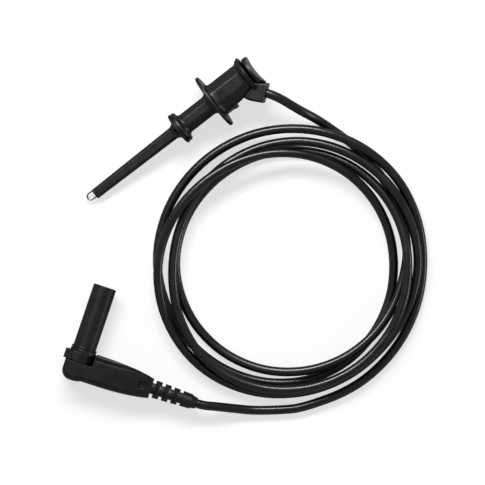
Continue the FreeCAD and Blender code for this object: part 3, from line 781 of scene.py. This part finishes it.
def elbowRing(along):
    # one section across the grip
    start, end, heel = elbow["gripStart"], elbow["end"], elbow["heelEnd"]
    wide, lost = elbow["gripLow"]
    before, after = elbow["heelBlend"]
    low = -wide + lost * max((along - heel) / (end - heel), 0) ** 3
    low -= (elbow["heelLow"] - wide) * (1 - smooth(heel + before, heel + after, along))
    corner = elbow["back"] + elbow["heelRadius"]
    if along < corner:
        drop = elbow["heelRadius"] ** 2 - (corner - along) ** 2
        low = -elbow["heelLow"] + elbow["heelRadius"] - math.sqrt(max(drop, 0))
    wide, lost = elbow["gripHigh"]
    step = elbow["gripStep"]
    high = elbow["mouth"]
    if along > start:
        high = wide - lost * ((along - start) / (end - start)) ** 3
        high -= step * (1 - smooth(start, start + step, along))
    fillet = elbow["backRound"]
    near = min(along - elbow["back"], fillet)
    top = gripTop(along) - fillet + math.sqrt(max(fillet ** 2 - (fillet - near) ** 2, 0))
    onGrip = smooth(start - 0.01, start + elbow["gripBlend"], along)
    before, after = elbow["ledgeFade"]
    fade = onGrip * (1 - smooth(elbow["ledgeEnd"] + before, elbow["ledgeEnd"] + after, along))
    least, more = elbow["ledge"]
    ledge = least + more * fade
    least, more, most = elbow["chamfer"]
    slope = least + more * onGrip + most * fade
    shelf = min(elbow["ledgeHeight"], elbow["ledgeShare"] * top)
    side = high - elbow["ledgeLean"] * fade
    least, more = elbow["chamferRound"]
    inset, lowRound = elbow["lowRound"]
    half = [(side, shelf, 0.2), (side - ledge, shelf + 0.1, 0.1),
            (side - ledge - slope, top, least + more * onGrip), (low + inset, top, lowRound)]
    corners = half + [(low, 0, 0)] + [(b, -z, f) for b, z, f in reversed(half)] + [(high, 0, 0)]
    return [(along, b, z) for b, z in softProfile(corners, 5, True)]


def makeElbow():
    start, end, back = elbow["gripStart"], elbow["end"], elbow["back"]
    places = [back + onward for onward in (0.02, 0.08, 0.2, 0.4, 0.7, 1.0, 1.3, 1.8, 2.4, 3.0)]
    places += [-1.7, 0.0, 1.5, 1.8, 1.95, 2.1, 2.3, 3.5, 4.6]
    places += [start + onward for onward in (0, 0.01, 0.1, 0.2, 0.35, 0.5, 0.7)]
    places += [start + 1 + (end - start - 1) * index / 24 for index in range(25)]
    points, faces = joinRings([elbowRing(along) for along in places], False)
    piece = makeMesh("plugElbow", placed(points, plugPlace), faces, "black_moulding")
    where, size, deep = elbow["recess"]
    top = gripTop(where)
    cutter = blockPiece("recessCutter", (where - size / 2, -size / 2, top - deep),
                        (where + size / 2, size / 2, top + 2), plugPlace, "black_moulding")
    softenEdges(cutter, elbow["recessRound"], segments=3)
    combine(piece, cutter, "DIFFERENCE")
    return hand(piece, "test_lead", "elbow_body")


plugElbow = makeElbow()


# The shroud over the contact, and the collar and cuff that hold its foot
shroud = {
    "foot": 0.62,
    "mouth": 28.4,
    "radius": 4.1,
    "bore": 3.1,
    "boreMiddle": 12.0,
    "lipRound": 0.3,
    "seat": 3.9,
    "seatGap": 0.02,
    "seatEnd": 5.7,
    "ringRadius": 5.4,
    "ringEnd": 4.1,
    "ringShift": -0.75,
    "underRing": 4.3,
    "cuffRadius": 4.65,
    "cuffDraft": 0.1,
    "cuffEnd": 6.0,
    "grooveRadius": 4.35,
    "groove": (5.0, 5.08, 5.3, 5.38),
    "sides": 128,
}


def makeShroud():
    mouth, foot, seatEnd = shroud["mouth"], shroud["foot"], shroud["seatEnd"]
    radius, bore, lip = shroud["radius"], shroud["bore"], shroud["lipRound"]
    seat = shroud["seat"] - shroud["seatGap"]
    profile = softProfile([(foot, bore, 0), (foot, seat, 0), (seatEnd, seat, 0),
                           (seatEnd + 0.05, radius, 0.1), (mouth, radius, lip), (mouth, bore, lip)])
    profile.append((shroud["boreMiddle"], bore))
    piece = turnedPiece("plugShroud", profile, shroud["sides"], plugPlace, "black_moulding", "y")
    return hand(piece, "test_lead", "shroud_sleeve")


def makeCollar():
    foot, ringEnd, cuffEnd = shroud["foot"], shroud["ringEnd"], shroud["cuffEnd"]
    ring, cuff, seat = shroud["ringRadius"], shroud["cuffRadius"], shroud["seat"]
    drawn, deep = cuff - shroud["cuffDraft"], shroud["grooveRadius"]
    a, b, c, d = shroud["groove"]
    outer = softProfile([(foot, shroud["underRing"], 0), (foot, ring, 0.2), (ringEnd, ring, 0.4),
                         (ringEnd + 0.02, cuff + 0.15, 0.15)])
    inner = softProfile([(ringEnd + 0.15, cuff, 0), (a, cuff, 0.18), (b, deep, 0.1), (c, deep, 0.1),
                         (d, drawn, 0.18), (cuffEnd, drawn, 0.25), (cuffEnd, seat, 0.08),
                         (foot, seat, 0)])
    rings = []
    for line, shift in ((outer, shroud["ringShift"]), (inner, 0.0)):
        for along, radius in line:
            moved = shift * min(max((radius - cuff) / (ring - cuff), 0), 1)
            rings.append([(moved + radius * math.cos(turn), along, radius * math.sin(turn))
                          for turn in anglesRound(shroud["sides"])])
    points, faces = joinRings(rings, True)
    piece = makeMesh("plugCollar", placed(points, plugPlace), faces, "black_moulding")
    return hand(piece, "test_lead", "shroud_collar")


plugShroud = makeShroud()
plugCollar = makeCollar()


# The boot that eases the lead's bend: slots from its sides and from its top and bottom in turn
boot = {
    "start": elbow["end"],
    "end": 41.4,
    "radii": (3.25, 2.6),
    "edgeRound": 0.14,
    "stubEnd": 43.3,
    "stubRadii": (2.3, 1.95),
    "bore": 0.75,
    "slots": 4,
    "pitch": 3.35,
    "slotWidth": 1.1,
    "firstSlot": 0.55,
    "slotDeep": 4.0,
    "core": 1.9,
}


def slotTree():
    # rows of cutters on all four sides of the boot, repeated along it, taken out of its solid
    tree = bpy.data.node_groups.new("bootSlots", "GeometryNodeTree")
    inputs = (("Geometry", "NodeSocketGeometry"), ("Slots", "NodeSocketInt"),
              ("Pitch", "NodeSocketFloat"), ("Width", "NodeSocketFloat"),
              ("Core", "NodeSocketFloat"), ("First", "NodeSocketFloat"))
    for name, kind in inputs:
        tree.interface.new_socket(name, in_out="INPUT", socket_type=kind)
    tree.interface.new_socket("Geometry", in_out="OUTPUT", socket_type="NodeSocketGeometry")
    given = addNode(tree, "NodeGroupInput").outputs
    deep = boot["slotDeep"] * mm
    cutters = addNode(tree, "GeometryNodeJoinGeometry")
    size = addNode(tree, "ShaderNodeCombineXYZ", {}, {"X": given["Width"], "Y": deep, "Z": 3 * deep})
    block = addNode(tree, "GeometryNodeMeshCube", {}, {"Size": size.outputs[0]})
    away = addNode(tree, "ShaderNodeMath", {"operation": "ADD"}, {0: given["Core"], 1: deep / 2})
    halfPitch = addNode(tree, "ShaderNodeMath", {"operation": "MULTIPLY"}, {0: given["Pitch"], 1: 0.5})
    second = addNode(tree, "ShaderNodeMath", {"operation": "ADD"},
                     {0: given["First"], 1: halfPitch.outputs[0]})
    fewer = addNode(tree, "ShaderNodeMath", {"operation": "SUBTRACT"}, {0: given["Slots"], 1: 1.0})
    step = addNode(tree, "ShaderNodeCombineXYZ", {}, {"X": given["Pitch"]})
    for quarterTurn in range(4):
        upright = quarterTurn % 2 == 1
        begin = second.outputs[0] if upright else given["First"]
        first = addNode(tree, "ShaderNodeCombineXYZ", {}, {"X": begin})
        row = addNode(tree, "GeometryNodeMeshLine", {}, {
            "Count": fewer.outputs[0] if upright else given["Slots"],
            "Start Location": first.outputs[0], "Offset": step.outputs[0]})
        outward = addNode(tree, "ShaderNodeCombineXYZ", {}, {"Y": away.outputs[0]})
        shifted = addNode(tree, "GeometryNodeTransform", {}, {"Geometry": block.outputs[0],
                                                              "Translation": outward.outputs[0]})
        turned = addNode(tree, "GeometryNodeTransform", {}, {
            "Geometry": shifted.outputs[0], "Rotation": (math.pi / 2 * quarterTurn, 0, 0)})
        repeated = addNode(tree, "GeometryNodeInstanceOnPoints", {}, {"Points": row.outputs[0],
                                                                      "Instance": turned.outputs[0]})
        tree.links.new(repeated.outputs[0], cutters.inputs[0])
    cutters = addNode(tree, "GeometryNodeRealizeInstances", {}, {"Geometry": cutters.outputs[0]})
    slotted = addNode(tree, "GeometryNodeMeshBoolean", {"operation": "DIFFERENCE", "solver": "EXACT"},
                      {"Mesh 1": given["Geometry"], "Mesh 2": cutters.outputs[0]})
    finished = addNode(tree, "GeometryNodeSetMaterial", {}, {"Geometry": slotted.outputs[0],
                                                             "Material": finishes["soft_boot"]})
    addNode(tree, "NodeGroupOutput", {}, {0: finished.outputs[0]})
    return tree


def makeBoot():
    start, bore = boot["start"], boot["bore"]
    long, stubLong = boot["end"] - start, boot["stubEnd"] - start
    (thick, thin), (stubThick, stubThin) = boot["radii"], boot["stubRadii"]
    profile = softProfile([(0, bore, 0), (0, thick, 0.12), (long, thin, 0.55),
                           (long + 0.05, stubThick, 0.2), (stubLong, stubThin, 0.15),
                           (stubLong, bore, 0)])
    piece = turnedPiece("plugBoot", profile, 96, Matrix.Identity(4), "soft_boot")
    tree = slotTree()
    change = piece.modifiers.new("slots", "NODES")
    change.node_group = tree
    sizes = {"Slots": boot["slots"], "Pitch": boot["pitch"] * mm, "Width": boot["slotWidth"] * mm,
             "Core": boot["core"] * mm, "First": boot["firstSlot"] * mm}
    for item in tree.interface.items_tree:
        if item.in_out == "INPUT" and item.name in sizes:
            change[item.identifier] = sizes[item.name]
    settle(piece)
    softenEdges(piece, boot["edgeRound"], 50.0)
    piece.data.transform(plugPlace @ Matrix.Translation(Vector((start, 0, 0)) * mm))
    return hand(piece, "test_lead", "strain_relief")


plugBoot = makeBoot()
print("plug made,", len(plugElbow.data.polygons) + len(plugBoot.data.polygons), "faces")


# The lead, from the clip's horn to the plug's boot: 1.26 m, in one piece. The ways are points on
# the bench, in millimetres.
lead = {
    "diameter": 3.2,
    "sides": 24,
    "spanSteps": 6,  # rings from one control point to the next
    "hornEnd": (16.35, -9.05),  # in the clip's own frame
    "exitRun": 3.4,
    "bendRun": 11.8,  # how far down the frame it bends with the plunger
    "clipWay": [(40.1, -20.2, 8.6), (43.3, -26.8, 3.0), (45.8, -34.6, 1.6), (48.1, -42.6, 1.6),
                (49.3, -57.3, 1.6), (45.5, -72.4, 1.6)],
    "coilRun": 7.5,
    "coilMiddle": (8.21, -63.55),
    "topAngle": 52.17,  # the coil's point at the frame's top
    "turnSteps": 16,
    "firstStep": 2.0,  # where the coil starts, in eighths of a turn from the top
    "endAngle": 155.0,
    "plugRun": 2.4,
    "plugWay": [(-36.6, -93.8, 1.6), (-41.9, -88.7, 3.0), (-46.9, -83.8, 4.9)],
}
# How far out the lead lies, and how high, at each eighth of a turn clockwise from the frame's top
coilReach = [53.2, 41.5, 35.7, 34.8, 37.4, 41.9, 44.8, 42.4,
             39.6, 37.4, 36.5, 39.0, 43.6, 48.1, 45.4, 44.3,
             42.9, 40.9, 40.2, 39.9, 44.8, 50.9, 50.9, 44.1,
             38.3, 33.5, 31.6, 34.6, 41.0, 47.0, 51.2, 50.0,
             47.2, 44.6, 41.8, 43.85, 49.45]
coilLift = [2.0, 1.6, 3.0, 5.6, 4.4, 2.2, 1.6, 1.6,
            1.6, 3.9, 7.6, 7.5, 6.4, 6.3, 5.5, 5.3,
            4.4, 5.5, 5.4, 3.0, 2.0, 3.9, 6.8, 9.2,
            7.2, 3.9, 1.6, 1.6, 1.6, 1.6, 1.6, 2.6,
            5.9, 4.4, 1.6, 1.6, 1.6]


def between(values, at):
    # smooth value of a list at a fractional place in it
    last = len(values) - 1
    here = min(int(at), last - 1)
    t = at - here
    a, b = values[here], values[here + 1]
    before = values[here - 1] if here else 2 * a - b
    after = values[here + 2] if here + 2 <= last else 2 * b - a
    return (a + t * (b - before) / 2
            + t * t * (before - 2.5 * a + 2 * b - after / 2)
            + t ** 3 * (1.5 * (a - b) + (after - before) / 2))


def coilPoint(at, widen=1.0):
    # the lead's place at so many eighths of a turn
    angle = math.radians(lead["topAngle"] - 45 * at)
    reach = between(coilReach, at) * widen
    height = max(between(coilLift, at), lead["diameter"] / 2)
    return Vector((lead["coilMiddle"][0] + reach * math.cos(angle),
                   lead["coilMiddle"][1] + reach * math.sin(angle), height))


def leadRoute():
    # control points of the whole lead, in millimetres
    hornTurn = math.radians(plunger["hornAngles"][1])
    exitPoint = clipPlace @ (Vector((*lead["hornEnd"], 0)) * mm) / mm
    heading = clipPlace.to_3x3() @ Vector((math.cos(hornTurn), math.sin(hornTurn), 0))
    steps = lead["turnSteps"]
    first = coilPoint(lead["firstStep"])
    ahead = (coilPoint(lead["firstStep"] + 1) - coilPoint(lead["firstStep"] - 1)).normalized()
    route = [exitPoint, exitPoint + heading * lead["exitRun"]]
    route += [Vector(point) for point in lead["clipWay"]]
    route.append(first - ahead * lead["coilRun"])
    count = round((len(coilReach) - 1 - lead["firstStep"]) * steps / 8)
    widen = 1 / math.cos(math.pi / steps)  # so that the curve itself keeps the true reach
    route += [coilPoint(lead["firstStep"] + 8 * i / steps, widen) for i in range(count + 1)]
    turn = math.radians(lead["endAngle"])
    last = coilPoint(len(coilReach) - 1)
    route.append(last + Vector((math.cos(turn), math.sin(turn), 0)) * lead["coilRun"])
    route += [Vector(point) for point in lead["plugWay"]]
    plugAhead = plugPlace.to_3x3() @ xAxis
    plugExit = plugPlace @ (xAxis * boot["stubEnd"] * mm) / mm
    return route + [plugExit + plugAhead * lead["plugRun"], plugExit]


def followSpline(points):
    # places along the smooth spline that the route's points steer
    data = bpy.data.curves.new("route", "CURVE")
    data.dimensions = "3D"
    data.resolution_u = lead["spanSteps"]
    spline = data.splines.new("NURBS")
    spline.points.add(len(points) - 1)
    for knot, point in zip(spline.points, points):
        knot.co = (*(point * mm), 1)
    spline.order_u = 3
    spline.use_endpoint_u = True
    route = bpy.data.objects.new("route", data)
    bpy.context.scene.collection.objects.link(route)
    ready = route.evaluated_get(bpy.context.evaluated_depsgraph_get())
    line = bpy.data.meshes.new_from_object(ready)
    path = [vertex.co.copy() for vertex in line.vertices]
    bpy.data.objects.remove(route)
    bpy.data.meshes.remove(line)
    return path


def tube(path, radius, sides):
    # rings along a path, with a frame that doesn't twist, and closed ends
    rings, uv = [], []
    side = None
    run = 0.0
    for index, here in enumerate(path):
        ahead = (path[min(index + 1, len(path) - 1)] - path[max(index - 1, 0)]).normalized()
        if side is None:
            side = Vector((0, 0, 1)).cross(ahead).normalized()
        side = (side - ahead * side.dot(ahead)).normalized()
        up = ahead.cross(side)
        if index:
            run += (here - path[index - 1]).length
        rings.append([here + side * (radius * math.cos(turn)) + up * (radius * math.sin(turn))
                      for turn in anglesRound(sides)])
        uv += [(run, step / sides) for step in range(sides)]
    points, faces = joinRings(rings, False)
    return points, faces, uv


def makeLead(path):
    points, faces, uv = tube(path, lead["diameter"] / 2 * mm, lead["sides"])
    piece = makeMesh("testLead", points, faces, "black_lead", uv)
    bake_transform(piece)
    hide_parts("cord_clip_stretch", "cord_coil", "cord_plug_stretch")
    return piece


leadPath = followSpline(leadRoute())
testLead = makeLead(leadPath)


# The return spring, between the guide bush and the washer on the rod
spring = {
    "seat": 2.2,  # its still end, along the clip
    "length": 5.0,
    "coilRadius": 2.5,
    "wireRadius": 0.22,
    "turns": 4,
    "turnSteps": 32,
    "sides": 10,
    "stroke": 2.0,
}


def makeSpring():
    wire, radius = spring["wireRadius"], spring["coilRadius"]
    count = spring["turns"] * spring["turnSteps"]
    coil = []
    for step in range(count + 1):
        turn = 2 * math.pi * spring["turns"] * step / count
        along = spring["seat"] + wire + (spring["length"] - 2 * wire) * step / count
        coil.append((along, radius * math.sin(turn), radius * math.cos(turn)))
    points, faces, _ = tube(placed(coil, clipPlace), wire * mm, spring["sides"])
    piece = makeMesh("returnSpring", points, faces, "spring_steel")
    hand(piece, "test_lead", "return_spring")
    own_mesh(piece)


makeSpring()
print("spring made")


# The plug's pieces, gathered in one list; the plug sits at the lead's far end
plugNodes = ["banana_pin", "pin_spring", "pin_tip", "pin_spacer", "crimp_barrel", "plug_core_wire"]
plugPieces = [plugElbow, plugCollar, plugShroud, plugBoot]
plugPieces += [frame["nodes"][name] for name in plugNodes]
